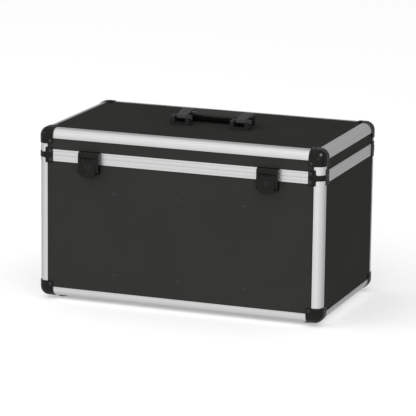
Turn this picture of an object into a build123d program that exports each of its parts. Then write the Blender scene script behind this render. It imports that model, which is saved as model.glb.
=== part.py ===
"""Flight case: laminated board panels in rounded aluminium edges, black ball corners, a hinged lid with a
tongue-and-groove closing frame, two keyed toggle latches, a folding carrying handle and removable dividers.

Millimetres, +Z up, +X to the right and the latches at the front, -Y. The case is modelled about the middle of
its body with the body's underside at Z = 0, and is moved as a whole at the end, so that the origin is the
middle of the underside of its bounding box."""

from build123d import *
from math import acos, atan2, degrees, hypot
import os

# The body, measured over the aluminium
case_width = 520.0
case_depth = 295.0
base_height = 252.4
lid_height = 46.6

# Board panels and how far the aluminium stands proud of them
panel_thickness = 6.0
lip_thickness = 1.0

# Rounded edge profile
edge_leg = 16.8
edge_radius = 14.5
panel_inset = 12.0
inner_leaf = 1.2
screw_port_radius = 1.5
groove_depth = 0.35
groove_half_width = 0.4
lip_groove_from_tip = 1.7

# Closing frame, a groove in the base half and a tongue on the lid half
rim_height = 10.36
base_rim_web = 4.4
lid_rim_web = 2.4
tongue_groove_width = 3.2
tongue_groove_depth = 3.0
tongue_root_width = 2.2
tongue_tip_width = 1.4
tongue_height = 2.5
rim_line_from_edge = 3.4
parting_chamfer = 0.5

# Plastic corners
cap_thickness = 1.2
cap_reach = 27.0
cap_round = 4.0
cap_rivet_from_tip = 5.0
closing_ear_height = 13.5
closing_ear_start = 13.5
closing_band = 4.8
closing_round = 3.0
closing_rivet_drop = 7.4
closing_rivet_from_tip = 4.2

# Clearances
seat = 0.1
soft_gap = 0.3
side_play = 0.3
running = 0.05
close_fit = 0.025
join_depth = 1.0

# Blind rivets
rivet_head_radius = 3.0
rivet_head_height = 1.3
rivet_brim = 0.3
rivet_stem_radius = 0.9
rivet_stem_depth = 0.5
flat_rivet_radius = 3.0
flat_rivet_crown = 1.65
flat_rivet_height = 0.8
rivet_shank_radius = 1.6
rivet_tail_radius = 2.4
rivet_tail_height = 0.8

# Rubber feet
foot_radius = 10.0
foot_draft = 1.0
foot_height = 7.5
foot_past_cap_x = 5.0
foot_past_cap_y = 9.0
foot_recess_radius = 5.0
foot_recess_depth = 4.0
screw_head_radius = 4.0
screw_head_height = 2.4
screw_slot_width = 1.2
screw_slot_depth = 1.0
screw_shank_radius = 1.75

# Dividers in riveted channels
divider_spacing = 119.0
divider_count = 3
divider_thickness = 6.0
divider_above_channel = 8.0
channel_wall = 1.2
channel_depth = 10.0
channel_rivet_low = 48.5
channel_rivet_high = 192.0
channel_rivet_radius = 3.6
floor_pad_thickness = 5.0
lid_pad_thickness = 10.0

# Toggle latches
latch_inset = 97.0
latch_pivot_out = 6.5
latch_pivot_drop = 0.9
latch_pin_radius = 1.1
knuckle_radius = 2.7
lever_width = 28.6
lever_length = 30.5
lever_back_out = 3.9
lever_face_out = 12.6
lever_face_drop = 22.0
lever_lip_out = 14.0
lever_lip_drop = 29.4
lever_under_out = 11.8
lever_corner = 9.0
lever_heel_in = 1.6
lever_heel_up = 2.0
lever_neck_drop = 1.0
lever_foot_wall = 3.2
lever_wall = 2.2
lever_pocket_top = 5.6
housing_knuckle = 8.2
knuckle_gap = 1.6
housing_width = 27.6
housing_length = 29.0
housing_plate = 2.5
housing_corner = 7.0
housing_rivet_spacing = 16.0
housing_rivet_drop = 25.0
claw_width = 39.0
claw_pivot_drop = 12.0
claw_stud_radius = 1.5
claw_stud_length = 2.0
claw_top_above = 11.7
claw_bar_above = 2.2
claw_bar_back_out = 4.0
claw_top_out = 9.4
claw_low_out = 11.2
claw_back_out = 1.6
claw_arm_drop = 24.4
claw_foot_round = 3.0
claw_top_round = 5.5
claw_shoulder_round = 1.5
keeper_side_play = 1.0
claw_lip_out = 0.4
keeper_width = 26.0
keeper_plate = 1.4
keeper_foot_above = 0.8
keeper_top_above = 10.1
keeper_ledge_out = 3.4
keeper_ledge_height = 1.8
keeper_rivet_spacing = 16.0
hook_gap = 0.15

# Lock barrel in each lever
barrel_radius = 4.6
barrel_drop = 12.0
barrel_proud = 0.5
barrel_rim = 0.9
barrel_dish = 0.5
keyhole_width = 1.5
keyhole_height = 4.6
keyhole_depth = 2.2
cam_thickness = 1.4
cam_half_width = 2.0
cam_hub_radius = 3.0
cam_reach = 7.0
staple_wall = 1.4
staple_half_height = 3.0
staple_overlap = 1.4

# Rear hinges with a stop
hinge_inset = 110.0
hinge_width = 44.0
hinge_leaf = 1.5
hinge_leaf_height = 22.0
hinge_axis_out = 3.2
hinge_barrel_radius = 3.0
hinge_pin_radius = 1.5
hinge_pin_head_radius = 2.3
hinge_pin_head = 1.0
hinge_middle_knuckle = 15.0
hinge_stop_reach = 5.8
hinge_stop_thickness = 1.5
hinge_rivet_spacing = 30.0
hinge_rivet_near = 6.8
hinge_rivet_far = 17.0

# Folding handle on the lid
handle_shift_x = 9.5
handle_pivot_y = -15.5
handle_bracket_spacing = 110.0
handle_fold_reach = 38.0
grip_radius = 11.4
grip_waist = 0.9
grip_core_radius = 4.0
collar_length = 4.8
collar_inset = 0.6
arm_end_radius = 10.4
arm_round = 2.4
arm_inner_round = 1.5
arm_outer_round = 11.0
arm_flare = 2.6
arm_flare_start = 13.0
arm_flare_end = 24.0
arm_flare_round = 8.0
eye_radius = 5.0
bracket_depth = 19.0
bracket_cheek = 7.6
bracket_gap = 20.0
bracket_base = 4.4
bracket_top_round = 3.0
bracket_corner_round = 1.5
bracket_bar_height = 4.8
bracket_bar_depth = 3.0
bracket_above_pin = 4.4
handle_pin_radius = 2.2
handle_pin_proud = 0.4
bracket_rivet_spacing = 11.0
bracket_rivet_back = 5.2

# Places that follow from the sizes
half_width = case_width / 2
half_depth = case_depth / 2
case_height = base_height + lid_height
panel_inner = lip_thickness + panel_thickness
wall_inner = panel_inner + inner_leaf
panel_top = case_height - lip_thickness
edge_run_x = case_width - 2 * edge_leg
edge_run_y = case_depth - 2 * edge_leg
cap_rivet_inset = cap_reach - cap_rivet_from_tip
closing_rivet_inset = cap_reach - closing_rivet_from_tip
foot_inset_x = cap_reach + foot_past_cap_x
foot_inset_y = cap_reach + foot_past_cap_y


def block(low, high):
    """A box between two opposite corners."""
    size = [b - a for a, b in zip(low, high)]
    centre = [(a + b) / 2 for a, b in zip(low, high)]
    return Pos(*centre) * Box(*size)


def rod(middle, direction, radius, length):
    """A round bar centred on a point."""
    return extrude(Plane(middle, z_dir=direction) * Circle(radius), length / 2, both=True)


def bar(profile, inward_a, inward_b, middle, length):
    """A straight length of a profile, whose two axes point inward from the edge that it follows."""
    run = Vector(*inward_a).cross(Vector(*inward_b))
    return extrude(Plane(middle, x_dir=inward_a, z_dir=run) * profile, length / 2, both=True)


def outline(*points):
    """A flat face with straight sides."""
    return make_face(Polyline(*points, close=True))


def edges_along(solid, axis, test):
    """Edges along one axis whose middle passes a test."""
    return [e for e in solid.edges().filter_by(axis) if test(e.center())]


def left_right(piece):
    """A piece and its mirror image across the middle of the case's width."""
    return [piece, mirror(piece, about=Plane.YZ)]


def front_back(piece):
    """A piece and its mirror image across the middle of the case's depth."""
    return [piece, mirror(piece, about=Plane.XZ)]


def four(piece):
    """A piece at the front left, and its copies at the other three corners."""
    return [copy for half in left_right(piece) for copy in front_back(half)]


def turned(profile, spot, outward):
    """A half section, as (radius, height over spot), turned about the outward direction."""
    return Plane(spot, z_dir=outward).location * revolve(Plane.XZ * make_face(profile), Axis.Z)


def rivet(spot, outward, grip, radius=rivet_head_radius, stem=0.0, tail=0.0):
    """A blind rivet: a domed head on the face at spot, with any dimple of its stem, and a shank through grip."""
    rise = rivet_head_height - rivet_brim
    ball = (radius**2 + rise**2) / (2 * rise)

    def crown(at):
        return at, rivet_head_height - ball + (ball**2 - at**2) ** 0.5

    start, middle, end = (crown(at) for at in (stem, (stem + radius) / 2, radius))
    low = -grip - tail
    under = [end, (radius, 0), (rivet_shank_radius, 0), (rivet_shank_radius, -grip)]
    if tail:
        under += [(rivet_tail_radius, -grip), (rivet_tail_radius, low)]
    under += [(0, low)]
    if stem:
        dimple = start[1] - rivet_stem_depth
        under += [(0, dimple), (stem, dimple)]
    return turned([Polyline(*under, start), ThreePointArc(start, middle, end)], spot, outward)


def flat_rivet(spot, outward, grip):
    """A rivet with a low head, where something moves over it."""
    section = [
        (0, -grip),
        (0, flat_rivet_height),
        (flat_rivet_crown, flat_rivet_height),
        (flat_rivet_radius, 0),
        (rivet_shank_radius, 0),
        (rivet_shank_radius, -grip),
    ]
    return turned([Polyline(*section, close=True)], spot, outward)


def drill(piece, spots):
    """Cuts the holes of the rivets at (spot, outward direction, grip) out of a piece."""
    for spot, outward, grip in spots:
        middle = Vector(*spot) - Vector(*outward) * (grip / 2)
        piece -= rod(middle, outward, rivet_shank_radius + running, grip + 2 * seat)
    return piece


def edge_profile():
    """Section of the rounded aluminium edge, with a slot for each of the two panels that meet there."""
    arc_mid = edge_radius * (1 - 0.5**0.5)
    line_at = edge_leg - lip_groove_from_tip
    lip_a = [
        (0, line_at - groove_half_width),
        (groove_depth, line_at),
        (0, line_at + groove_half_width),
        (0, edge_leg),
        (lip_thickness, edge_leg),
    ]
    slot_a = [(lip_thickness, panel_inset), (panel_inner, panel_inset), (panel_inner, edge_leg)]
    leaf_a = [(wall_inner, edge_leg)]
    half = [(0, edge_radius), *lip_a, *slot_a, *leaf_a]
    other = [(b, a) for a, b in reversed(half)]
    path = Polyline(*half, (wall_inner, wall_inner), *other)
    arc = ThreePointArc((edge_radius, 0), (arc_mid, arc_mid), (0, edge_radius))
    port_at = (arc_mid + wall_inner) / 2
    return make_face([path, arc]) - Pos(port_at, port_at) * Circle(screw_port_radius)


def rim_section(web, rising):
    """Section of a closing profile: first axis inward from the wall's face, second away from the parting."""
    line_at = rim_height - rim_line_from_edge
    beyond = rim_height + 1
    cut = outline((lip_thickness, web), (panel_inner, web), (panel_inner, beyond), (lip_thickness, beyond))
    line = outline(
        (0, line_at - groove_half_width), (groove_depth, line_at), (0, line_at + groove_half_width)
    )
    start = parting_chamfer
    section = outline((start, 0), (wall_inner, 0), (wall_inner, rim_height), (0, rim_height), (0, start))
    section = section - cut - line
    middle = (lip_thickness + panel_inner) / 2
    if rising:
        root, tip = tongue_root_width / 2, tongue_tip_width / 2
        tongue = outline(
            (middle - root, web / 2),
            (middle - root, 0),
            (middle - tip, -tongue_height),
            (middle + tip, -tongue_height),
            (middle + root, 0),
            (middle + root, web / 2),
        )
        return section + tongue
    half = tongue_groove_width / 2
    return section - outline(
        (middle - half, -1),
        (middle + half, -1),
        (middle + half, tongue_groove_depth),
        (middle - half, tongue_groove_depth),
    )


def rounded_corner(low, radius, size):
    """A cube from low to size on each axis, with its low corner and the three edges there rounded."""
    cube = block((low, low, low), (size, size, size))
    near = [e for e in cube.edges() if sum(abs(c - low) < 1e-6 for c in e.center()) == 2]
    return fillet(near, radius)


def ball_corner():
    """The cap at one corner, with the corner at the origin and the case towards +X, +Y and +Z."""
    far = 2 * cap_reach
    outer = rounded_corner(-cap_thickness - seat, edge_radius + cap_thickness + seat, far)
    reach = block((-edge_leg,) * 3, (cap_reach,) * 3)
    ears = [e for e in reach.edges() if sum(abs(c - cap_reach) < 1e-6 for c in e.center()) == 2]
    cap = outer & fillet(ears, cap_round)
    inner = rounded_corner(-seat, edge_radius + seat, far)
    plug = block((-edge_leg,) * 3, (edge_leg,) * 3)
    cap -= inner - plug
    cap -= block((wall_inner,) * 3, (far,) * 3)
    ear_low, ear_high = edge_leg + seat, cap_reach - cap_round
    for turn in ((0, 1, 2), (2, 0, 1), (1, 2, 0)):
        low = [lip_thickness - seat, panel_inset - seat, panel_inset - seat]
        high = [panel_inner + seat, far, far]
        cap -= block([low[i] for i in turn], [high[i] for i in turn])
    for turn in ((0, 1, 2), (2, 0, 1), (1, 2, 0)):
        low = [-seat - cap_thickness / 2, ear_low, ear_low]
        high = [lip_thickness, ear_high + cap_round / 2, ear_high + cap_round / 2]
        cap += block([low[i] for i in turn], [high[i] for i in turn])
    return cap


def closing_corner():
    """The base half of the clasp round one upright edge: the parting is at Z = 0, the edge at X = Y = 0."""
    out, deep = cap_thickness + seat, closing_ear_height

    def upright(low, radius):
        prism = block((low, low, -deep - 1), (2 * cap_reach, 2 * cap_reach, 0))
        edge = edges_along(prism, Axis.Z, lambda c: c.X < 0 and c.Y < 0)
        return fillet(edge, radius)

    reach = block((-edge_leg, -edge_leg, -deep), (cap_reach, cap_reach, 0))
    tips = [e for e in reach.edges() if abs(e.center().Z + deep) < 1e-6 and max(e.center()) > cap_reach - 1]
    half = upright(-out, edge_radius + out) & fillet(tips, closing_round)
    half -= upright(-seat, edge_radius + seat)
    notch = block((-edge_leg, -edge_leg, -2 * deep), (closing_ear_start, closing_ear_start, -closing_band))
    tops = [e for e in notch.edges() if abs(e.center().Z + closing_band) < 1e-6 and max(e.center()) > 0]
    tops = [e for e in tops if max(e.center()) > closing_ear_start - 1]
    half -= fillet(tops, closing_round)
    foot_low, foot_high = -deep + closing_round / 2, -rim_height - seat
    start, stop = edge_leg + seat, cap_reach - closing_round
    half += block((start, -out / 2, foot_low), (stop, lip_thickness, foot_high))
    half += block((-out / 2, start, foot_low), (lip_thickness, stop, foot_high))
    return half


def corner_spots():
    """Rivets of the front left ball corner and clasp of the base: (spot, outward direction, grip)."""
    out = cap_thickness + seat
    grip = out + panel_inner
    at = cap_rivet_inset
    x, y = -half_width, -half_depth
    spots = [
        ((x + at, y - out, at), (0, -1, 0), grip),
        ((x - out, y + at, at), (-1, 0, 0), grip),
        ((x + at, y + at, -out), (0, 0, -1), grip),
    ]
    z = base_height - closing_rivet_drop
    clasp_grip = out + wall_inner
    at = closing_rivet_inset
    spots += [((x + at, y - out, z), (0, -1, 0), clasp_grip), ((x - out, y + at, z), (-1, 0, 0), clasp_grip)]
    return spots


def mirrored_spots(spots, flip):
    """Rivet spots turned over across the planes whose axes flip names."""

    def turn(v):
        return tuple(-c if axis in flip else c for c, axis in zip(v, "xyz"))

    return [(turn(spot), turn(outward), grip) for spot, outward, grip in spots]


def all_corner_spots():
    one = corner_spots()
    return [spot for flip in ("", "x", "y", "xy") for spot in mirrored_spots(one, flip)]


def up_to_lid(spots):
    """The lid's rivets: the clasps' are turned over across the parting, the others across the half height."""
    moved = []
    for (x, y, z), (a, b, c), grip in spots:
        over = 2 * base_height if z > base_height / 2 else case_height
        moved.append(((x, y, over - z), (a, b, -c), grip))
    return moved


def channel_xs():
    first = -divider_spacing * (divider_count - 1) / 2
    return [first + i * divider_spacing for i in range(divider_count)]


floor_pad_low = wall_inner + 2 * seat
floor_pad_high = floor_pad_low + floor_pad_thickness
divider_low = floor_pad_high + soft_gap
channel_low = edge_leg + seat
channel_high = channel_rivet_high + channel_rivet_low - channel_low
channel_inside = divider_thickness + 2 * side_play
divider_high = channel_high + divider_above_channel


def channel_spots():
    grip = panel_thickness + channel_wall
    front = [
        ((x, -half_depth + lip_thickness, z), (0, -1, 0), grip)
        for x in channel_xs()
        for z in (channel_rivet_low, channel_rivet_high)
    ]
    return front + mirrored_spots(front, "y")


# Latch places, for the right-hand latch; out is measured from the front face of the aluminium
latch_x = half_width - latch_inset
latch_axis_y = -half_depth - latch_pivot_out
latch_axis_z = base_height - latch_pivot_drop
claw_axis_z = latch_axis_z - claw_pivot_drop
barrel_z = latch_axis_z - barrel_drop


def side_plate(points, width, centre=0.0, parting=base_height):
    """A side view, as (out from the front face, height over the parting), made width wide about centre."""
    section = outline(*points)
    plane = Plane((centre, -half_depth, parting), x_dir=(0, -1, 0), z_dir=(-1, 0, 0))
    return extrude(plane * section, width / 2, both=True)


def across(out, height, radius, width, centre=0.0, parting=base_height):
    """A round bar along X at a place of the side view."""
    return rod((centre, -half_depth - out, parting + height), (1, 0, 0), radius, width)


def latch_spots():
    """Rivets of one latch: two in the housing plate and two in the keeper."""
    low = base_height - housing_rivet_drop
    high = base_height + (keeper_foot_above + keeper_top_above - keeper_ledge_height) / 2
    housing = [
        ((latch_x + side * housing_rivet_spacing / 2, -half_depth - housing_plate, low), (0, -1, 0),
         housing_plate + panel_inner)
        for side in (-1, 1)
    ]
    keeper = [
        ((latch_x + side * keeper_rivet_spacing / 2, -half_depth - keeper_plate, high), (0, -1, 0),
         keeper_plate + wall_inner)
        for side in (-1, 1)
    ]
    return housing, keeper


def latch_housing():
    """The plate behind the lever, with its middle knuckle and the staple that the lock's cam turns into."""
    top, bottom = -latch_pivot_drop, -housing_length
    plate = side_plate([(0, top), (housing_plate, top), (housing_plate, bottom), (0, bottom)], housing_width)
    below = rim_height + seat
    plate += side_plate(
        [
            (-lip_thickness, -below),
            (housing_plate / 2, -below),
            (housing_plate / 2, bottom),
            (-lip_thickness, bottom),
        ],
        housing_width,
    )
    foot = edges_along(plate, Axis.Y, lambda c: c.Z < base_height - housing_length + 1)
    plate = fillet(foot, housing_corner)
    under = top - knuckle_radius
    neck = [(0, top), (latch_pivot_out, top), (latch_pivot_out, under), (0, under)]
    plate += side_plate(neck, housing_knuckle)
    plate += across(latch_pivot_out, top, knuckle_radius, housing_knuckle)
    cam_front = lever_back_out + cam_thickness
    lip = (cam_front + side_play, cam_front + side_play + staple_wall)
    wall_x = cam_reach + 2 * side_play
    z = barrel_z
    y = -half_depth
    plate += block(
        (wall_x, y - lip[1], z - staple_half_height), (wall_x + staple_wall, y, z + staple_half_height)
    )
    plate += block(
        (cam_reach - staple_overlap, y - lip[1], z - staple_half_height),
        (wall_x + staple_wall, y - lip[0], z + staple_half_height),
    )
    plate -= across(latch_pivot_out, top, latch_pin_radius + running, claw_width)
    return plate


def lever_side():
    """Side view of the lever as (out, height over the parting)."""
    top = -latch_pivot_drop
    return [
        (latch_pivot_out, top),
        (latch_pivot_out + knuckle_radius, top),
        (lever_face_out, top - lever_face_drop),
        (lever_lip_out, top - lever_lip_drop),
        (lever_under_out, top - lever_length),
        (lever_back_out + lever_heel_in, top - lever_length),
        (lever_back_out, top - lever_length + lever_heel_up),
        (lever_back_out, top - knuckle_radius - lever_neck_drop),
    ]


def lever_front_out(drop):
    """How far out the lever's face is at a drop below its pivot."""
    start = latch_pivot_out + knuckle_radius
    return start + (lever_face_out - start) * drop / lever_face_drop


def latch_lever():
    """The thumb lever: a hollow moulded tile with two knuckles, the lock's hole and the claw's sockets."""
    top = -latch_pivot_drop
    lever = side_plate(lever_side(), lever_width)
    lever += across(latch_pivot_out, top, knuckle_radius, lever_width)
    face = Plane((0, -half_depth, base_height + top), x_dir=(1, 0, 0), z_dir=(0, -1, 0))
    half, low = lever_width / 2, -lever_length
    front = outline((-half, 10), (half, 10), (half, low), (-half, low))
    front = fillet(front.vertices().filter_by(lambda v: v.Y < 0), lever_corner)
    lever &= extrude(face * front, 2 * lever_lip_out)
    inside = half - lever_wall
    front_wall = lever_front_out(lever_pocket_top) - lever_wall
    low_wall = lever_front_out(lever_length) - lever_foot_wall
    pocket = [
        (0, top - lever_pocket_top),
        (front_wall, top - lever_pocket_top),
        (low_wall, top - lever_length + 2 * lever_wall),
        (0, top - lever_length + 2 * lever_wall),
    ]
    hollow = side_plate(pocket, 2 * inside)
    corners = edges_along(hollow, Axis.Y, lambda c: c.Z < barrel_z)
    lever -= fillet(corners, lever_corner - lever_wall)
    gap = housing_knuckle + 2 * knuckle_gap
    lever -= across(latch_pivot_out, top, knuckle_radius + side_play, gap)
    lever -= block(
        (-gap / 2, -half_depth - latch_pivot_out, latch_axis_z - knuckle_radius - side_play),
        (gap / 2, -half_depth, latch_axis_z + knuckle_radius),
    )
    lever -= across(latch_pivot_out, top, latch_pin_radius + running, claw_width)
    bore_start = (0, -half_depth - lever_lip_out, barrel_z)
    bore_depth = lever_lip_out - lever_back_out
    lever -= rod(bore_start, (0, 1, 0), barrel_radius + running, 2 * bore_depth)
    stud_radius, socket = claw_stud_radius + running, claw_stud_length + side_play
    for side in (-1, 1):
        lever -= across(latch_pivot_out, top - claw_pivot_drop, stud_radius, 2 * socket, side * half)
    return lever


def latch_claw():
    """The arch that hooks over the keeper: a top bar with an inward lip, and two arms with studs."""
    top, low = claw_top_above, -latch_pivot_drop - claw_arm_drop
    arch_side = [
        (claw_lip_out, top),
        (claw_top_out, top),
        (claw_low_out, low + claw_foot_round),
        (claw_low_out - claw_foot_round, low),
        (claw_back_out, low),
        (claw_back_out, claw_bar_above),
        (claw_back_out, keeper_top_above + hook_gap),
        (claw_lip_out, keeper_top_above + hook_gap),
    ]
    claw = side_plate(arch_side, claw_width)
    at_top = base_height + top - hook_gap
    crown = edges_along(claw, Axis.X, lambda c: c.Z > at_top and c.Y < -half_depth - claw_back_out)
    claw = fillet(crown, claw_top_round)
    claw = fillet(edges_along(claw, Axis.Y, lambda c: c.Z > at_top), claw_shoulder_round)
    inside = lever_width / 2 + side_play
    claw -= block(
        (-inside, -half_depth - 2 * lever_lip_out, base_height + 2 * low),
        (inside, -half_depth, base_height + claw_bar_above),
    )
    keeper_half = keeper_width / 2 + keeper_side_play
    claw -= block(
        (-keeper_half, -half_depth - claw_bar_back_out, base_height),
        (keeper_half, -half_depth, base_height + keeper_top_above + hook_gap),
    )
    for side in (-1, 1):
        reach = inside - lever_width / 2 + claw_stud_length
        claw += across(
            latch_pivot_out,
            -latch_pivot_drop - claw_pivot_drop,
            claw_stud_radius,
            reach,
            side * (inside - reach / 2),
        )
    return claw


def latch_keeper():
    """The ledge on the lid that the claw hooks over."""
    low, top = keeper_foot_above, keeper_top_above
    return side_plate(
        [
            (0, low),
            (keeper_plate, low),
            (keeper_plate, top - keeper_ledge_height),
            (keeper_ledge_out, top - keeper_ledge_height),
            (keeper_ledge_out, top),
            (0, top),
        ],
        keeper_width,
    )


def lock_barrel():
    """The key barrel: a dished round face with a keyhole, and the cam behind it."""
    face_out = lever_front_out(barrel_drop) + barrel_proud
    back_out = lever_back_out + cam_thickness
    length = face_out - back_out
    y = -half_depth
    barrel = rod((0, y - back_out - length / 2, barrel_z), (0, 1, 0), barrel_radius, length)
    barrel -= rod((0, y - face_out, barrel_z), (0, 1, 0), barrel_radius - barrel_rim, 2 * barrel_dish)
    barrel -= block(
        (-keyhole_width / 2, y - face_out - 1, barrel_z - keyhole_height / 2),
        (keyhole_width / 2, y - face_out + keyhole_depth, barrel_z + keyhole_height / 2),
    )
    cam = block(
        (-cam_half_width, y - back_out, barrel_z - cam_reach), (cam_half_width, y - lever_back_out, barrel_z)
    )
    cam += rod(
        (0, y - lever_back_out - cam_thickness / 2, barrel_z), (0, 1, 0), cam_hub_radius, cam_thickness
    )
    return barrel + cam


def latch_pin():
    return across(latch_pivot_out, -latch_pivot_drop, latch_pin_radius, lever_width - 2 * seat)


def hinge_view(points, width, centre=0.0):
    """A side view at the back, as (out from the back face, height over the parting), made width wide."""
    plane = Plane((centre, half_depth, base_height), x_dir=(0, 1, 0), z_dir=(1, 0, 0))
    return extrude(plane * outline(*points), width / 2, both=True)


def hinge_round(radius, width, centre=0.0):
    return rod((centre, half_depth + hinge_axis_out, base_height), (1, 0, 0), radius, width)


def hinge_leaf_sheet(sign):
    """A leaf that lies on the closing profile and steps down to the panel; sign is 1 on the lid."""
    start = sign * seat
    step = sign * (rim_height + seat)
    bend = sign * (rim_height + hinge_leaf)
    stop = sign * hinge_leaf_height
    deep = -lip_thickness
    sheet = hinge_view(
        [
            (0, start),
            (hinge_leaf, start),
            (hinge_leaf, bend),
            (deep + hinge_leaf, bend),
            (deep + hinge_leaf, stop),
            (deep, stop),
            (deep, step),
            (0, step),
        ],
        hinge_width,
    )
    tips = edges_along(sheet, Axis.Y, lambda c: abs(c.Z - base_height - stop) < 0.01)
    return fillet(tips, closing_round)


outer_knuckle = (hinge_width - hinge_middle_knuckle) / 2 - side_play
outer_knuckle_x = (hinge_width - outer_knuckle) / 2
hinge_x = half_width - hinge_inset


def hinge_base_leaf():
    leaf = hinge_leaf_sheet(-1)
    for side in (-1, 1):
        leaf += hinge_round(hinge_barrel_radius, outer_knuckle, side * outer_knuckle_x)
    leaf -= hinge_round(hinge_barrel_radius + side_play, hinge_middle_knuckle + 2 * side_play)
    return leaf - hinge_round(hinge_pin_radius + running, 2 * hinge_width)


def hinge_lid_leaf():
    leaf = hinge_leaf_sheet(1)
    leaf += hinge_round(hinge_barrel_radius, hinge_middle_knuckle)
    half = hinge_stop_thickness / 2
    reach = hinge_axis_out + hinge_stop_reach
    lug = [(hinge_axis_out, -half), (reach, -half), (reach, half), (hinge_axis_out, half)]
    leaf += hinge_view(lug, hinge_middle_knuckle)
    for side in (-1, 1):
        width = outer_knuckle + 2 * side_play
        leaf -= hinge_round(hinge_barrel_radius + side_play, width, side * outer_knuckle_x)
    return leaf - hinge_round(hinge_pin_radius + running, 2 * hinge_width)


def hinge_pin():
    pin = hinge_round(hinge_pin_radius, hinge_width + 2 * side_play)
    for side in (-1, 1):
        at = side * (hinge_width / 2 + side_play + hinge_pin_head / 2)
        pin += hinge_round(hinge_pin_head_radius, hinge_pin_head, at)
    return pin


def hinge_spots(sign):
    """Rivets of one leaf at the middle of the back; sign is 1 on the lid."""
    spots = []
    for side in (-1, 1):
        x = side * hinge_rivet_spacing / 2
        near = (x, half_depth + hinge_leaf, base_height + sign * hinge_rivet_near)
        far = (x, half_depth + hinge_leaf - lip_thickness, base_height + sign * hinge_rivet_far)
        spots += [(near, (0, 1, 0), hinge_leaf + wall_inner), (far, (0, 1, 0), hinge_leaf + panel_thickness)]
    return spots


def stop_angle():
    """How far the lid opens before the stop on its knuckle meets the base leaf."""
    half = hinge_stop_thickness / 2
    radius = hypot(hinge_stop_reach, half)
    return degrees(acos((hinge_leaf - hinge_axis_out) / radius) - atan2(half, hinge_stop_reach))


# Handle places
handle_pin_z = panel_top + soft_gap + grip_radius
grip_axis_y = handle_pivot_y + handle_fold_reach
arm_inner = handle_bracket_spacing / 2 - bracket_gap / 2 + side_play
arm_outer = handle_bracket_spacing / 2 + bracket_gap / 2 - side_play
grip_length = 2 * (arm_inner - collar_length)


def handle_bracket(centre):
    """A moulded bracket: two cheeks with rounded tops on a base, joined in front by a low bar."""
    z0 = panel_top
    half = bracket_depth / 2
    top = handle_pin_z - z0 + bracket_above_pin
    width = bracket_gap + 2 * bracket_cheek
    side = outline((-half, 0), (half, 0), (half, top), (-half, top))
    side = fillet(side.vertices().filter_by(lambda v: v.Y > 0), bracket_top_round)
    plane = Plane((centre, handle_pivot_y, z0), x_dir=(0, 1, 0), z_dir=(1, 0, 0))
    bracket = extrude(plane * side, width / 2, both=True)
    gap = bracket_gap / 2
    bracket -= block(
        (centre - gap, handle_pivot_y - half + bracket_bar_depth, z0 + bracket_base),
        (centre + gap, handle_pivot_y + half + 1, z0 + 2 * top),
    )
    bracket -= block(
        (centre - gap, handle_pivot_y - half - 1, z0 + bracket_bar_height),
        (centre + gap, handle_pivot_y, z0 + 2 * top),
    )
    upright = edges_along(bracket, Axis.Z, lambda c: abs(abs(c.X - centre) - width / 2) < 0.01)
    bracket = fillet(upright, bracket_corner_round)
    bore_radius = handle_pin_radius + close_fit
    return bracket - rod((centre, handle_pivot_y, handle_pin_z), (1, 0, 0), bore_radius, 2 * width)


def handle_xs():
    return [handle_shift_x + side * handle_bracket_spacing / 2 for side in (-1, 1)]


def handle_pin(centre):
    length = bracket_gap + 2 * bracket_cheek + 2 * handle_pin_proud
    return rod((centre, handle_pivot_y, handle_pin_z), (1, 0, 0), handle_pin_radius, length)


def bracket_spots():
    y, z = handle_pivot_y + bracket_rivet_back, panel_top + bracket_base
    grip = bracket_base + panel_thickness
    xs = [x + side * bracket_rivet_spacing / 2 for x in handle_xs() for side in (-1, 1)]
    return [((x, y, z), (0, 0, 1), grip) for x in xs]


def handle_arm(side):
    """One arm, from the eye on its pin to its round end at the grip's collar; side is -1 or 1."""
    near, far = -2 * eye_radius, handle_fold_reach + arm_end_radius
    wide = arm_outer + arm_flare
    plan = outline(
        (arm_inner, near),
        (arm_outer, near),
        (arm_outer, arm_flare_start),
        (wide, arm_flare_end),
        (wide, far),
        (arm_inner, far),
    )
    corner = plan.vertices().filter_by(lambda v: v.X > arm_outer and v.Y > arm_flare_end + 1)
    plan = fillet(corner, arm_outer_round)
    bends = plan.vertices().filter_by(lambda v: near + 1 < v.Y < arm_flare_end + 1)
    plan = fillet(bends, arm_flare_round)
    middle = (handle_shift_x, handle_pivot_y, handle_pin_z)
    from_above = Plane(middle, x_dir=(side, 0, 0), z_dir=(0, 0, side))
    from_side = Plane(middle, x_dir=(0, 1, 0), z_dir=(1, 0, 0))
    grip_end = Pos(handle_fold_reach, 0) * Circle(arm_end_radius)
    side_view = make_hull([Circle(eye_radius).edge(), grip_end.edge()])
    arm = extrude(from_side * side_view, 2 * wide, both=True)
    arm &= extrude(from_above * plan, 2 * arm_end_radius, both=True)

    def rim(outer):
        """Edges where the arm's upper and lower faces meet its outer or its inner side."""
        edges = arm.edges().filter_by(Axis.X, reverse=True)
        edges = [e for e in edges if abs(e.center().Z - handle_pin_z) > 1]
        return [e for e in edges if (abs(e.center().X - handle_shift_x) > arm_inner + 1) == outer]

    arm = fillet(rim(True), arm_round)
    arm = fillet(rim(False), arm_inner_round)
    collar_x = handle_shift_x + side * (arm_inner - collar_length / 2 + join_depth / 2)
    collar_radius = grip_radius - collar_inset
    collar = rod((collar_x, grip_axis_y, handle_pin_z), (1, 0, 0), collar_radius, collar_length + join_depth)
    return arm + collar


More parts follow.
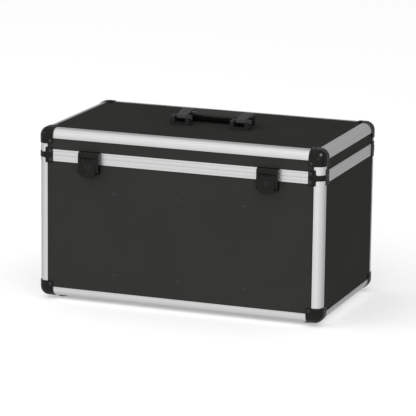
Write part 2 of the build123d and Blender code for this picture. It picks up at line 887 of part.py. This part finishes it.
def handle_frame():
    """Both arms and the core between them that carries the grip."""
    core_length = grip_length + 2 * join_depth
    frame = rod((handle_shift_x, grip_axis_y, handle_pin_z), (1, 0, 0), grip_core_radius, core_length)
    for side in (-1, 1):
        frame += handle_arm(side)
    grip_space = rod((handle_shift_x, grip_axis_y, handle_pin_z), (1, 0, 0), 2 * grip_radius, grip_length)
    keep = rod((handle_shift_x, grip_axis_y, handle_pin_z), (1, 0, 0), grip_core_radius, 2 * grip_length)
    frame -= grip_space - keep
    for x in handle_xs():
        eye = (x, handle_pivot_y, handle_pin_z)
        frame -= rod(eye, (1, 0, 0), handle_pin_radius + running, 2 * bracket_gap)
    return frame


def handle_grip():
    """The moulded sleeve, a little slimmer at its ends than in the middle."""
    half = grip_length / 2 - seat
    end = grip_radius - grip_waist
    bore = grip_core_radius + seat
    edge = [(-half, bore), (-half, end)]
    wall = [Polyline(*edge), ThreePointArc((-half, end), (0, grip_radius), (half, end))]
    wall += [Polyline((half, end), (half, bore), (-half, bore))]
    sleeve = revolve(make_face(wall), Axis.X)
    return Pos(handle_shift_x, grip_axis_y, handle_pin_z) * sleeve


def foot():
    """A rubber foot at the origin, pointing down, with a recess for its screw."""
    body = Pos(0, 0, -foot_height / 2) * Cone(foot_radius - foot_draft, foot_radius, foot_height)
    recess = rod((0, 0, -foot_height), (0, 0, 1), foot_recess_radius, 2 * foot_recess_depth)
    shank = rod((0, 0, 0), (0, 0, 1), screw_shank_radius + running, 2 * foot_height)
    rim = body.edges().sort_by(Axis.Z)[0]
    return fillet(rim, foot_draft) - recess - shank


def foot_screw():
    head_at = -foot_height + foot_recess_depth
    head = rod((0, 0, head_at - screw_head_height / 2), (0, 0, 1), screw_head_radius, screw_head_height)
    low = head_at - screw_head_height
    slot = block(
        (-screw_head_radius, -screw_slot_width / 2, low),
        (screw_head_radius, screw_slot_width / 2, low + screw_slot_depth),
    )
    shank = rod((0, 0, (head_at + panel_inner) / 2), (0, 0, 1), screw_shank_radius, panel_inner - head_at)
    return head - slot + shank


def foot_places():
    return [(x, y) for x in (-half_width + foot_inset_x, half_width - foot_inset_x)
            for y in (-half_depth + foot_inset_y, half_depth - foot_inset_y)]


def panels(prefix, low, high, flat_low, flat_high):
    """The four wall panels between two heights, and the flat one."""
    x, y = half_width - panel_inset, half_depth - panel_inset
    skin, deep = lip_thickness, panel_inner
    front = block((-x, -half_depth + skin, low), (x, -half_depth + deep, high))
    left = block((-half_width + skin, -y, low), (-half_width + deep, y, high))
    flat = "bottom" if prefix == "base" else "top"
    return {
        f"{prefix}_front_panel": front,
        f"{prefix}_back_panel": mirror(front, about=Plane.XZ),
        f"{prefix}_left_panel": left,
        f"{prefix}_right_panel": mirror(left, about=Plane.YZ),
        f"{prefix}_{flat}_panel": block((-x, -y, flat_low), (x, y, flat_high)),
    }


def both_latches(spots):
    return spots + mirrored_spots(spots, "x")


def both_hinges(sign):
    """Rivets of both hinges' leaves; sign is 1 on the lid."""
    one = [((x + hinge_x, y, z), outward, grip) for (x, y, z), outward, grip in hinge_spots(sign)]
    return one + mirrored_spots(one, "x")


def turned_over(piece):
    """A piece of the base mirrored to its place on the lid."""
    return mirror(piece, about=Plane.XY.offset(case_height / 2))


def all_panels():
    pieces = panels("base", panel_inset, base_height - base_rim_web, lip_thickness, panel_inner)
    low, high = base_height + lid_rim_web, case_height - panel_inset
    pieces |= panels("lid", low, high, case_height - panel_inner, panel_top)
    for x, y in foot_places():
        hole = rod((x, y, 0), (0, 0, 1), screw_shank_radius + running, 4 * panel_inner)
        pieces["base_bottom_panel"] -= hole
    return pieces


def edges_and_posts():
    """Rounded edges along the sides of the floor and the top, and the posts up the corners."""
    pieces = {}
    profile = edge_profile()
    across_x = bar(profile, (0, 1, 0), (0, 0, 1), (0, -half_depth, 0), edge_run_x)
    across_y = bar(profile, (1, 0, 0), (0, 0, 1), (-half_width, 0, 0), edge_run_y)
    pieces["base_edge_front"], pieces["base_edge_back"] = front_back(across_x)
    pieces["base_edge_left"], pieces["base_edge_right"] = left_right(across_y)
    for side in ("front", "back", "left", "right"):
        pieces[f"lid_edge_{side}"] = turned_over(pieces[f"base_edge_{side}"])

    def post(low, high):
        middle = (-half_width, -half_depth, (low + high) / 2)
        return bar(profile, (1, 0, 0), (0, 1, 0), middle, high - low)

    pieces["base_posts"] = four(post(edge_leg, base_height))
    pieces["lid_posts"] = four(post(base_height, case_height - edge_leg))
    return pieces


def closing_frame():
    """The groove profiles round the base's rim and the tongue profiles round the lid's."""
    pieces = {}
    for prefix, web, rising, up in (("base", base_rim_web, False, -1), ("lid", lid_rim_web, True, 1)):
        section = rim_section(web, rising)
        front = bar(section, (0, 1, 0), (0, 0, up), (0, -half_depth, base_height), edge_run_x)
        left = bar(section, (1, 0, 0), (0, 0, up), (-half_width, 0, base_height), edge_run_y)
        pieces[f"{prefix}_rim_front"], pieces[f"{prefix}_rim_back"] = front_back(front)
        pieces[f"{prefix}_rim_left"], pieces[f"{prefix}_rim_right"] = left_right(left)
    return pieces


def plastic_corners():
    """Ball corners at the eight corners, and the clasps' two halves round each upright edge."""
    ball = Pos(-half_width, -half_depth, 0) * ball_corner()
    clasp = Pos(-half_width, -half_depth, base_height) * closing_corner()
    ball, clasp = drill(ball, corner_spots()[:3]), drill(clasp, corner_spots()[3:])
    return {
        "base_ball_corners": four(ball),
        "base_closing_corners": four(clasp),
        "lid_ball_corners": four(turned_over(ball)),
        "lid_closing_corners": four(mirror(clasp, about=Plane.XY.offset(base_height))),
    }


def feet():
    return {
        "feet": [Pos(x, y, lip_thickness) * foot() for x, y in foot_places()],
        "foot_screws": [Pos(x, y, lip_thickness) * foot_screw() for x, y in foot_places()],
    }


def divider_channel():
    """The U-shaped channel at the middle of the front wall."""
    half = channel_inside / 2
    out = half + channel_wall
    deep = channel_wall + channel_depth
    section = outline(
        (-out, 0),
        (out, 0),
        (out, deep),
        (half, deep),
        (half, channel_wall),
        (-half, channel_wall),
        (-half, deep),
        (-out, deep),
    )
    return extrude(Pos(0, panel_inner - half_depth, channel_low) * section, channel_high - channel_low)


def dividers_and_pads():
    """Channels riveted to the front and back walls, the boards that stand in them, and the foam."""
    channels = []
    for x in channel_xs():
        channels += [drill(copy, channel_spots()) for copy in front_back(Pos(x, 0, 0) * divider_channel())]
    end = half_depth - panel_inner - channel_wall - rivet_tail_height - side_play
    thick = divider_thickness / 2
    boards = [block((x - thick, -end, divider_low), (x + thick, end, divider_high)) for x in channel_xs()]
    pad_x, pad_y = half_width - wall_inner - soft_gap, half_depth - wall_inner - soft_gap
    lid_pad_top = case_height - floor_pad_low
    return {
        "divider_channels": channels,
        "dividers": boards,
        "floor_pad": block((-pad_x, -pad_y, floor_pad_low), (pad_x, pad_y, floor_pad_high)),
        "lid_pad": block((-pad_x, -pad_y, lid_pad_top - lid_pad_thickness), (pad_x, pad_y, lid_pad_top)),
    }


def latches():
    pieces = {}
    housing_rivets, keeper_rivets = latch_spots()
    housing = drill(Pos(latch_x, 0, 0) * latch_housing(), housing_rivets)
    for side, at in (("left", -latch_x), ("right", latch_x)):
        shift = Pos(at, 0, 0)
        pieces[f"latch_{side}_housing"] = Pos(at - latch_x, 0, 0) * housing
        pieces[f"latch_{side}_lever"] = shift * latch_lever()
        pieces[f"latch_{side}_claw"] = shift * latch_claw()
        pieces[f"latch_{side}_lock"] = shift * lock_barrel()
    pieces["latch_pins"] = [Pos(at, 0, 0) * latch_pin() for at in (-latch_x, latch_x)]
    pieces["latch_keepers"] = left_right(drill(Pos(latch_x, 0, 0) * latch_keeper(), keeper_rivets))
    return pieces


def hinges():
    shift = Pos(hinge_x, 0, 0)
    return {
        "hinge_base_leaves": left_right(shift * drill(hinge_base_leaf(), hinge_spots(-1))),
        "hinge_lid_leaves": left_right(shift * drill(hinge_lid_leaf(), hinge_spots(1))),
        "hinge_pins": left_right(shift * hinge_pin()),
    }


def handle():
    return {
        "handle_brackets": [drill(handle_bracket(x), bracket_spots()) for x in handle_xs()],
        "handle_pins": [handle_pin(x) for x in handle_xs()],
        "handle_frame": handle_frame(),
        "handle_grip": handle_grip(),
    }


def build():
    """Every piece by name, still about the middle of the body."""
    pieces = all_panels() | edges_and_posts() | closing_frame() | plastic_corners() | feet()
    pieces |= dividers_and_pads() | latches() | hinges() | handle()

    # Rivets, and their holes in the panels and the closing profiles
    corners = all_corner_spots()
    lid_corners = up_to_lid(corners)
    housing_rivets, keeper_rivets = latch_spots()
    flat_base = both_latches(housing_rivets) + both_hinges(-1)
    flat_lid = both_latches(keeper_rivets) + both_hinges(1) + bracket_spots()
    inner = channel_spots()
    pieces["base_rivets"] = [rivet(*spot) for spot in corners] + [flat_rivet(*spot) for spot in flat_base]
    pieces["lid_rivets"] = [rivet(*spot) for spot in lid_corners] + [flat_rivet(*spot) for spot in flat_lid]
    pieces["divider_rivets"] = [
        rivet(*spot, radius=channel_rivet_radius, stem=rivet_stem_radius, tail=rivet_tail_height)
        for spot in inner
    ]
    outward_of = {
        "front": (0, -1, 0),
        "back": (0, 1, 0),
        "left": (-1, 0, 0),
        "right": (1, 0, 0),
        "bottom": (0, 0, -1),
        "top": (0, 0, 1),
    }
    for prefix, spots in (("base", corners + flat_base + inner), ("lid", lid_corners + flat_lid)):
        for side, outward in outward_of.items():
            here = [spot for spot in spots if spot[1] == outward]
            for name in (f"{prefix}_{side}_panel", f"{prefix}_rim_{side}"):
                if name in pieces:
                    pieces[name] = drill(pieces[name], here)
    return pieces


# The origin goes to the middle of the underside of the bounding box
front_reach = max(lever_lip_out, claw_low_out, cap_thickness + seat)
back_reach = max(hinge_axis_out + hinge_stop_reach, cap_thickness + seat)
move_y = (front_reach - back_reach) / 2
move_z = foot_height - lip_thickness


def main():
    os.makedirs("parts", exist_ok=True)
    move = Pos(0, move_y, move_z)
    for name, piece in build().items():
        solids = piece if isinstance(piece, list) else [piece]
        solids = [move * solid for part in solids for solid in part.solids()]
        shape = solids[0] if len(solids) == 1 else Compound(solids)
        export_step(shape, f"parts/{name}.step")
    places = {
        "lid hinge": (0, half_depth + hinge_axis_out, base_height),
        "handle fold": (handle_shift_x, handle_pivot_y, handle_pin_z),
        "right lever": (latch_x, latch_axis_y, latch_axis_z),
        "right claw": (latch_x, latch_axis_y, claw_axis_z),
        "right lock": (latch_x, latch_axis_y, barrel_z),
    }
    for name, (x, y, z) in places.items():
        print(name, round(x / 1000, 6), round((y + move_y) / 1000, 6), round((z + move_z) / 1000, 6))
    print("the lid meets its stop at", round(stop_angle(), 2), "degrees")


main()
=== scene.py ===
"""Looks of the lighting flight case: finishes for all solids, foam sheets, floor, studio light and camera."""

import math

import bmesh
import bpy
from mathutils import Matrix, Vector


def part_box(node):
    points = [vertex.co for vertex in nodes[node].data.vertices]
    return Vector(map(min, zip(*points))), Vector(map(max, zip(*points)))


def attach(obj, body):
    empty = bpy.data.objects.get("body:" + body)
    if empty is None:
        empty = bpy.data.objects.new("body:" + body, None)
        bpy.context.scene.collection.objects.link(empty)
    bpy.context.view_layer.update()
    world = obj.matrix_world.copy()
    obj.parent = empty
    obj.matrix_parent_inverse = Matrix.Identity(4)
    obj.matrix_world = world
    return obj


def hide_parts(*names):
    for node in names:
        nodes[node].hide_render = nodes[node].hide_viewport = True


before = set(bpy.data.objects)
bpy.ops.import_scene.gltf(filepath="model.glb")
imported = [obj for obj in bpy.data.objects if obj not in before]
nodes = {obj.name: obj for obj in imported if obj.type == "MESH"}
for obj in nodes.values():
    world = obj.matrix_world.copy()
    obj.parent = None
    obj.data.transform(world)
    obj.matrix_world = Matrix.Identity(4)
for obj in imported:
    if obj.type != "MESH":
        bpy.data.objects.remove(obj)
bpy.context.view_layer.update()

MM = 0.001

# Camera, fitted to the photograph's edge lines
LENS_MM = 239.3
SENSOR_MM = 36.0
CAMERA_AZIMUTH = 0.35552
CAMERA_ELEVATION = 0.22515
CAMERA_ROLL = 0.01183
CAMERA_DISTANCE = 4.8674
CAMERA_REACH = 100
LOOK_AT = Vector((-0.00015, 0.0025, 0.15489))

# Floor
FLOOR_SIZE = 30.0
FLOOR_COLOUR = (0.93, 0.93, 0.93, 1)
FLOOR_ROUGHNESS = 0.9
FLOOR_SPECULAR = 0.1
FLOOR_GLOW = 0.4

# Room: bright in front of the latches and dim at the back, between two cosines of the angle to that side
ROOM_COLOUR = (1.0, 1.0, 1.0, 1)
BRIGHT_SIDE = Vector((0.05, -0.93, -0.30))
ROOM_BRIGHT = 0.96
ROOM_DIM = 0.37
DIM_BELOW = -0.9
BRIGHT_ABOVE = 0.7

# Lights point at the middle of the case
CASE_MIDDLE = (0, 0, 0.2)

# Materials: the tint of black plastic's gloss, and how the shading rounds hard edges
BLACK_PLASTIC_TINT = (1.0, 1.0, 0.94, 1)
METAL_EDGE_MM = 0.15
RUBBER_EDGE_MM = 0.3
BEVEL_SAMPLES = 4

# Foam sheets: the rim is rounded by a share of the thickness. The loose face has a broad and a short wave,
# in radians per metre along x and y
RIM_SHARE = 0.3
RIM_STEPS = 4
CELLS_ALONG_X = 60
CELLS_ALONG_Y = 34
BROAD_WAVE = (31, 27)
BROAD_START = (1.3, 0.4)
SHORT_WAVE = (83, 71)
SHORT_SHARE = 0.5
WAVE_TOP = 1 + SHORT_SHARE
WAVE_DEPTH = 0.2 * MM


# Materials

class Shader:
    """A node material with one Principled shader and short calls to add what feeds it."""

    def __init__(self, name):
        self.material = bpy.data.materials.new(name)
        self.material.use_nodes = True
        self.tree = self.material.node_tree
        self.main = self.tree.nodes["Principled BSDF"]
        self.place = self.tree.nodes.new("ShaderNodeTexCoord").outputs["Object"]

    def set(self, **values):
        """Values for the Principled shader's own sockets, with _ for a space."""
        for name, value in values.items():
            self.main.inputs[name.replace("_", " ")].default_value = value

    def feed(self, name, value):
        """Links a value to one of the Principled shader's sockets."""
        self.tree.links.new(value, self.main.inputs[name])

    def fill(self, socket, value):
        """Links another socket to this one, or sets its value."""
        if isinstance(value, bpy.types.NodeSocket):
            self.tree.links.new(value, socket)
        else:
            socket.default_value = value

    def add(self, kind, **inputs):
        """A new node with links and values for its sockets, with _ for a space."""
        node = self.tree.nodes.new(kind)
        for name, value in inputs.items():
            self.fill(node.inputs[name.replace("_", " ")], value)
        return node

    def stretched(self, scale):
        """Object coordinates in metres, stretched by a scale for each axis."""
        return self.add("ShaderNodeMapping", Vector=self.place, Scale=scale).outputs["Vector"]

    def noise(self, scale, detail=2.0, roughness=0.5, vector=None):
        """Noise from 0 to 1, with its scale counted per metre."""
        vector = vector or self.place
        node = self.add("ShaderNodeTexNoise", Vector=vector, Scale=scale, Detail=detail, Roughness=roughness)
        return node.outputs["Fac"]

    def cells(self, scale):
        """How far each place is from its cell's middle, with the scale counted per metre."""
        return self.add("ShaderNodeTexVoronoi", Vector=self.place, Scale=scale).outputs["Distance"]

    def spread(self, value, low, high, start, end):
        """A value from start to end, mapped to one from low to high."""
        node = self.add(
            "ShaderNodeMapRange", Value=value, From_Min=start, From_Max=end, To_Min=low, To_Max=high)
        return node.outputs["Result"]

    def blend(self, factor, first, second):
        """A colour between two others."""
        node = self.tree.nodes.new("ShaderNodeMix")
        node.data_type = "RGBA"
        self.tree.links.new(factor, node.inputs["Factor"])
        colours = [socket for socket in node.inputs if socket.type == "RGBA"]
        self.fill(colours[0], first)
        self.fill(colours[1], second)
        return [socket for socket in node.outputs if socket.type == "RGBA"][0]

    def relief(self, layers, edge_mm=0.0):
        """Bumps from (height, strength, depth in mm) layers, over edges rounded by edge_mm."""
        normal = None
        if edge_mm:
            edge = self.add("ShaderNodeBevel", Radius=edge_mm * MM)
            edge.samples = BEVEL_SAMPLES
            normal = edge.outputs["Normal"]
        for height, strength, depth in layers:
            bump = self.add("ShaderNodeBump", Height=height, Strength=strength, Distance=depth * MM)
            if normal:
                self.tree.links.new(normal, bump.inputs["Normal"])
            normal = bump.outputs["Normal"]
        self.feed("Normal", normal)


def grey(level, warm=0.0):
    """A grey, made warmer by taking a share of its blue away."""
    return (level, level, level * (1 - warm), 1)


def laminate():
    """Matt black laminate with a fine pressed grain, slightly dusty in places."""
    s = Shader("laminate")
    grain = s.noise(1400, detail=4, roughness=0.65)
    clouds = s.noise(9, detail=3)
    speckle = s.spread(grain, low=0, high=1, start=0.3, end=0.7)
    tone = s.blend(speckle, grey(0.024, warm=0.06), grey(0.043, warm=0.06))
    dust = s.spread(clouds, low=0, high=0.25, start=0.35, end=0.75)
    s.feed("Base Color", s.blend(dust, tone, grey(0.048, warm=0.06)))
    s.feed("Roughness", s.spread(clouds, low=0.72, high=0.82, start=0.3, end=0.7))
    s.set(Specular_IOR_Level=0.01)
    s.relief([(grain, 0.35, 0.10), (s.cells(900), 0.15, 0.08)])
    return s.material


def streaks(across, along, axis):
    """Noise scales for streaks that run along one axis."""
    scale = [across, across, across]
    scale[axis] = along
    return scale


def aluminium(name, axis):
    """Satin anodised extrusion whose fine die lines run along one axis."""
    s = Shader(name)
    fine = s.stretched(streaks(across=2600, along=3, axis=axis))
    broad = s.stretched(streaks(across=420, along=1.2, axis=axis))
    lines = s.noise(1, detail=3, roughness=0.7, vector=fine)
    bands = s.noise(1, detail=2, vector=broad)
    marks = s.noise(35, detail=5, roughness=0.6)
    banded = s.spread(bands, low=0, high=1, start=0.35, end=0.65)
    tone = s.blend(banded, grey(0.635, warm=0.004), grey(0.70, warm=0.004))
    worn = s.spread(marks, low=0, high=0.22, start=0.55, end=0.8)
    s.feed("Base Color", s.blend(worn, tone, grey(0.54, warm=0.01)))
    s.feed("Roughness", s.spread(lines, low=0.36, high=0.46, start=0.3, end=0.7))
    s.set(Metallic=1.0)
    s.relief([(lines, 0.12, 0.03), (bands, 0.08, 0.05)])
    return s.material


def moulded(name, level, rough, grain_scale, grain, edge_mm, specular):
    """Black moulded plastic with a fine spark-eroded texture and softly rounded edges."""
    s = Shader(name)
    texture = s.noise(grain_scale, detail=3, roughness=0.6)
    wear = s.noise(60, detail=4)
    scuffed = s.spread(wear, low=0, high=1, start=0.35, end=0.75)
    s.feed("Base Color", s.blend(scuffed, grey(level * 0.85), grey(level * 1.25)))
    s.feed("Roughness", s.spread(wear, low=rough - 0.04, high=rough + 0.06, start=0.3, end=0.7))
    s.set(Specular_IOR_Level=specular, Specular_Tint=BLACK_PLASTIC_TINT)
    s.relief([(texture, grain, 0.05)], edge_mm)
    return s.material


def rubber():
    """Matt black rubber, dusty in places."""
    s = Shader("rubber")
    dust = s.spread(s.noise(140, detail=4), low=0, high=1, start=0.4, end=0.8)
    s.feed("Base Color", s.blend(dust, grey(0.014), grey(0.032, warm=0.03)))
    s.set(Roughness=0.78, Specular_IOR_Level=0.3)
    s.relief([(s.noise(900, detail=2), 0.3, 0.06)], RUBBER_EDGE_MM)
    return s.material


def metal(name, level, rough, metallic):
    """Plated or blackened steel with faint scuffs."""
    s = Shader(name)
    scuffs = s.noise(420, detail=4, roughness=0.65)
    scuffed = s.spread(scuffs, low=0, high=1, start=0.35, end=0.7)
    s.feed("Base Color", s.blend(scuffed, grey(level * 0.85), grey(level * 1.15)))
    s.feed("Roughness", s.spread(scuffs, low=rough - 0.06, high=rough + 0.08, start=0.3, end=0.7))
    s.set(Metallic=metallic)
    s.relief([(scuffs, 0.1, 0.03)], METAL_EDGE_MM)
    return s.material


def foam():
    """Dark closed-cell foam with its small cut cells, with painted shade that darkens the middle of each
    cell.
    """
    s = Shader("foam")
    pores = s.cells(800)
    uneven = s.noise(220, detail=3)
    # Painted shade: the colour gets darker towards each cell's middle, where the cut pore is deepest
    depth = s.spread(pores, low=0, high=1, start=0.1, end=0.6)
    s.feed("Base Color", s.blend(depth, grey(0.018), grey(0.042)))
    s.set(Roughness=0.95, Specular_IOR_Level=0.15, Sheen_Weight=0.15)
    s.relief([(pores, 0.5, 0.25), (uneven, 0.3, 0.3)])
    return s.material


board = laminate()
profile_x = aluminium("aluminium_x", axis=0)
profile_y = aluminium("aluminium_y", axis=1)
profile_z = aluminium("aluminium_z", axis=2)
corner_plastic = moulded(
    "corner_plastic", level=0.004, rough=0.26, grain_scale=1300, grain=0.05, edge_mm=0.6, specular=0.2)
latch_plastic = moulded(
    "latch_plastic", level=0.005, rough=0.22, grain_scale=1100, grain=0.10, edge_mm=0.5, specular=0.2)
bracket_plastic = moulded(
    "bracket_plastic", level=0.018, rough=0.45, grain_scale=900, grain=0.15, edge_mm=0.5, specular=0.2)
handle_gloss = moulded(
    "handle_gloss", level=0.004, rough=0.24, grain_scale=500, grain=0.03, edge_mm=1.3, specular=0.5)
grip_plastic = moulded(
    "grip_plastic", level=0.008, rough=0.24, grain_scale=800, grain=0.06, edge_mm=0.5, specular=0.4)
rivet_black = metal("rivet_black", level=0.042, rough=0.16, metallic=0.9)
plated = metal("plated_steel", level=0.52, rough=0.32, metallic=1.0)
pin_black = metal("pin_black", level=0.012, rough=0.30, metallic=0.5)
lock_metal = metal("lock_metal", level=0.018, rough=0.26, metallic=0.6)
foam_sheet = foam()
foot_rubber = rubber()


def dress(material, *names):
    """Gives a finish to CAD nodes, with smooth shading inside each of their faces."""
    for name in names:
        mesh = nodes[name].data
        mesh.materials.clear()
        mesh.materials.append(material)
        mesh.shade_smooth()


for half, flat in (("base", "bottom"), ("lid", "top")):
    dress(board, *(f"{half}_{side}_panel" for side in ("front", "back", "left", "right", flat)))
    for kind in ("edge", "rim"):
        dress(profile_x, f"{half}_{kind}_front", f"{half}_{kind}_back")
        dress(profile_y, f"{half}_{kind}_left", f"{half}_{kind}_right")
    dress(profile_z, f"{half}_posts")
    dress(corner_plastic, f"{half}_ball_corners", f"{half}_closing_corners")
    dress(rivet_black, f"{half}_rivets")
dress(board, "dividers")
dress(profile_z, "divider_channels")
dress(rivet_black, "divider_rivets")
dress(foot_rubber, "feet")
dress(plated, "foot_screws", "hinge_base_leaves", "hinge_lid_leaves", "hinge_pins", "handle_pins")
dress(pin_black, "latch_pins")
for side in ("left", "right"):
    dress(latch_plastic, *(f"latch_{side}_{part}" for part in ("housing", "lever", "claw")))
    dress(lock_metal, f"latch_{side}_lock")
dress(latch_plastic, "latch_keepers")
dress(bracket_plastic, "handle_brackets")
dress(handle_gloss, "handle_frame")
dress(grip_plastic, "handle_grip")


# Foam sheets

def rounded_steps(low, high, radius, cells):
    """Places along one side of a sheet, each with how far the rounded rim lies below the face there."""
    steps = []
    for i in range(RIM_STEPS + 1):
        turn = math.pi / 2 * i / RIM_STEPS
        steps.append((low + radius * (1 - math.cos(turn)), radius * (1 - math.sin(turn))))
    inner_low, inner_high = low + radius, high - radius
    steps += [(inner_low + (inner_high - inner_low) * i / cells, 0.0) for i in range(1, cells)]
    for i in range(RIM_STEPS + 1):
        turn = math.pi / 2 * (1 - i / RIM_STEPS)
        steps.append((high - radius * (1 - math.cos(turn)), radius * (1 - math.sin(turn))))
    return steps


def wave(x, y):
    """Unevenness of a loose foam face, between -WAVE_TOP and WAVE_TOP."""
    broad = math.sin(BROAD_WAVE[0] * x + BROAD_START[0]) * math.sin(BROAD_WAVE[1] * y + BROAD_START[1])
    short = math.sin(SHORT_WAVE[0] * x) * math.sin(SHORT_WAVE[1] * y)
    return broad + SHORT_SHARE * short


def foam_piece(name, node, body, loose_face):
    """A foam sheet in a CAD pad's place, with a rounded rim and an uneven loose face, 1 up or -1 down."""
    low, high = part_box(node)
    thick = high.z - low.z
    radius = RIM_SHARE * thick
    xs = rounded_steps(low.x, high.x, radius, CELLS_ALONG_X)
    ys = rounded_steps(low.y, high.y, radius, CELLS_ALONG_Y)
    sheet = bmesh.new()
    layers = []
    for face in (1, -1):
        rows = []
        for x, drop_x in xs:
            row = []
            for y, drop_y in ys:
                drop = min(drop_x + drop_y, thick / 2)
                if face == loose_face:
                    drop += WAVE_DEPTH * (WAVE_TOP + wave(x, y))
                z = (high.z - drop) if face == 1 else (low.z + drop)
                row.append(sheet.verts.new((x, y, z)))
            rows.append(row)
        layers.append(rows)
    top, bottom = layers
    last_x, last_y = len(xs) - 1, len(ys) - 1
    for i in range(last_x):
        for j in range(last_y):
            sheet.faces.new((top[i][j], top[i + 1][j], top[i + 1][j + 1], top[i][j + 1]))
            sheet.faces.new((bottom[i][j], bottom[i][j + 1], bottom[i + 1][j + 1], bottom[i + 1][j]))
    rim = [(i, 0) for i in range(last_x)] + [(last_x, j) for j in range(last_y)]
    rim += [(i, last_y) for i in range(last_x, 0, -1)] + [(0, j) for j in range(last_y, 0, -1)]
    for (a, b), (c, d) in zip(rim, rim[1:] + rim[:1]):
        sheet.faces.new((top[a][b], bottom[a][b], bottom[c][d], top[c][d]))
    bmesh.ops.recalc_face_normals(sheet, faces=sheet.faces)
    mesh = bpy.data.meshes.new(name)
    sheet.to_mesh(mesh)
    sheet.free()
    mesh.shade_smooth()
    mesh.materials.append(foam_sheet)
    piece = bpy.data.objects.new(name, mesh)
    bpy.context.scene.collection.objects.link(piece)
    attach(piece, body)
    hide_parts(node)


foam_piece("floor_foam", "floor_pad", "base", loose_face=1)
foam_piece("lid_foam", "lid_pad", "lid", loose_face=-1)


# Studio

def studio_floor():
    """A pale floor that shows neither in reflections nor in bounced light, as in the cut-out photograph."""
    mesh = bpy.data.meshes.new("floor")
    half = FLOOR_SIZE / 2
    corners = [(-half, -half, 0), (half, -half, 0), (half, half, 0), (-half, half, 0)]
    mesh.from_pydata(corners, [], [(0, 1, 2, 3)])
    pale = bpy.data.materials.new("pale_floor")
    pale.use_nodes = True
    shader = pale.node_tree.nodes["Principled BSDF"]
    shader.inputs["Base Color"].default_value = FLOOR_COLOUR
    shader.inputs["Roughness"].default_value = FLOOR_ROUGHNESS
    shader.inputs["Specular IOR Level"].default_value = FLOOR_SPECULAR
    shader.inputs["Emission Color"].default_value = FLOOR_COLOUR
    shader.inputs["Emission Strength"].default_value = FLOOR_GLOW
    mesh.materials.append(pale)
    floor = bpy.data.objects.new("floor", mesh)
    bpy.context.scene.collection.objects.link(floor)
    floor.visible_glossy = False
    floor.visible_diffuse = False


def softbox(name, place, size, power, aim=CASE_MIDDLE, glints_only=False):
    """A rectangular area light in metres and watts. With glints_only it shows in reflections alone."""
    light = bpy.data.lights.new(name, "AREA")
    light.shape = "RECTANGLE"
    light.size, light.size_y = size
    light.energy = power
    lamp = bpy.data.objects.new(name, light)
    bpy.context.scene.collection.objects.link(lamp)
    lamp.location = place
    lamp.rotation_euler = (Vector(aim) - Vector(place)).to_track_quat("-Z", "Y").to_euler()
    lamp.visible_diffuse = not glints_only


def studio_camera():
    """The photograph's camera, turned about LOOK_AT by its azimuth and elevation, and rolled."""
    away = Vector((
        math.sin(CAMERA_AZIMUTH) * math.cos(CAMERA_ELEVATION),
        -math.cos(CAMERA_AZIMUTH) * math.cos(CAMERA_ELEVATION),
        math.sin(CAMERA_ELEVATION),
    ))
    level = Vector((math.cos(CAMERA_AZIMUTH), math.sin(CAMERA_AZIMUTH), 0))
    upward = away.cross(level)
    right = level * math.cos(CAMERA_ROLL) + upward * math.sin(CAMERA_ROLL)
    up = upward * math.cos(CAMERA_ROLL) - level * math.sin(CAMERA_ROLL)
    lens = bpy.data.cameras.new("camera")
    lens.sensor_fit = "HORIZONTAL"
    lens.sensor_width = SENSOR_MM
    lens.lens = LENS_MM
    lens.clip_end = CAMERA_REACH
    camera = bpy.data.objects.new("camera", lens)
    bpy.context.scene.collection.objects.link(camera)
    turn = Matrix((right, up, away)).transposed().to_4x4()
    camera.matrix_world = Matrix.Translation(LOOK_AT + away * CAMERA_DISTANCE) @ turn
    bpy.context.scene.camera = camera


def studio_room():
    """A soft white room whose light fades away from its bright side."""
    world = bpy.data.worlds.new("studio")
    world.use_nodes = True
    tree = world.node_tree
    place = tree.nodes.new("ShaderNodeTexCoord")
    toward = tree.nodes.new("ShaderNodeVectorMath")
    toward.operation = "DOT_PRODUCT"
    toward.inputs[1].default_value = BRIGHT_SIDE.normalized()
    fade = tree.nodes.new("ShaderNodeMapRange")
    fade.inputs["From Min"].default_value = DIM_BELOW
    fade.inputs["From Max"].default_value = BRIGHT_ABOVE
    fade.inputs["To Min"].default_value = ROOM_DIM
    fade.inputs["To Max"].default_value = ROOM_BRIGHT
    background = tree.nodes["Background"]
    background.inputs["Color"].default_value = ROOM_COLOUR
    tree.links.new(place.outputs["Generated"], toward.inputs[0])
    tree.links.new(toward.outputs["Value"], fade.inputs["Value"])
    tree.links.new(fade.outputs["Result"], background.inputs["Strength"])
    bpy.context.scene.world = world


bpy.context.scene.view_settings.view_transform = "Standard"

studio_room()
studio_floor()
softbox("ceiling", place=(-0.9, -0.8, 2.4), size=(1.6, 3.4), power=7, aim=(-0.9, -0.8, 0))
softbox("front", place=(1.2, -3.3, 0.9), size=(2.4, 1.6), power=12)
softbox("glint_left", place=(-3.1, -1.9, 1.9), size=(2.0, 0.8), power=14)
softbox("glint_right", place=(2.4, -1.3, 3.0), size=(0.9, 0.9), power=140, glints_only=True)
studio_camera()
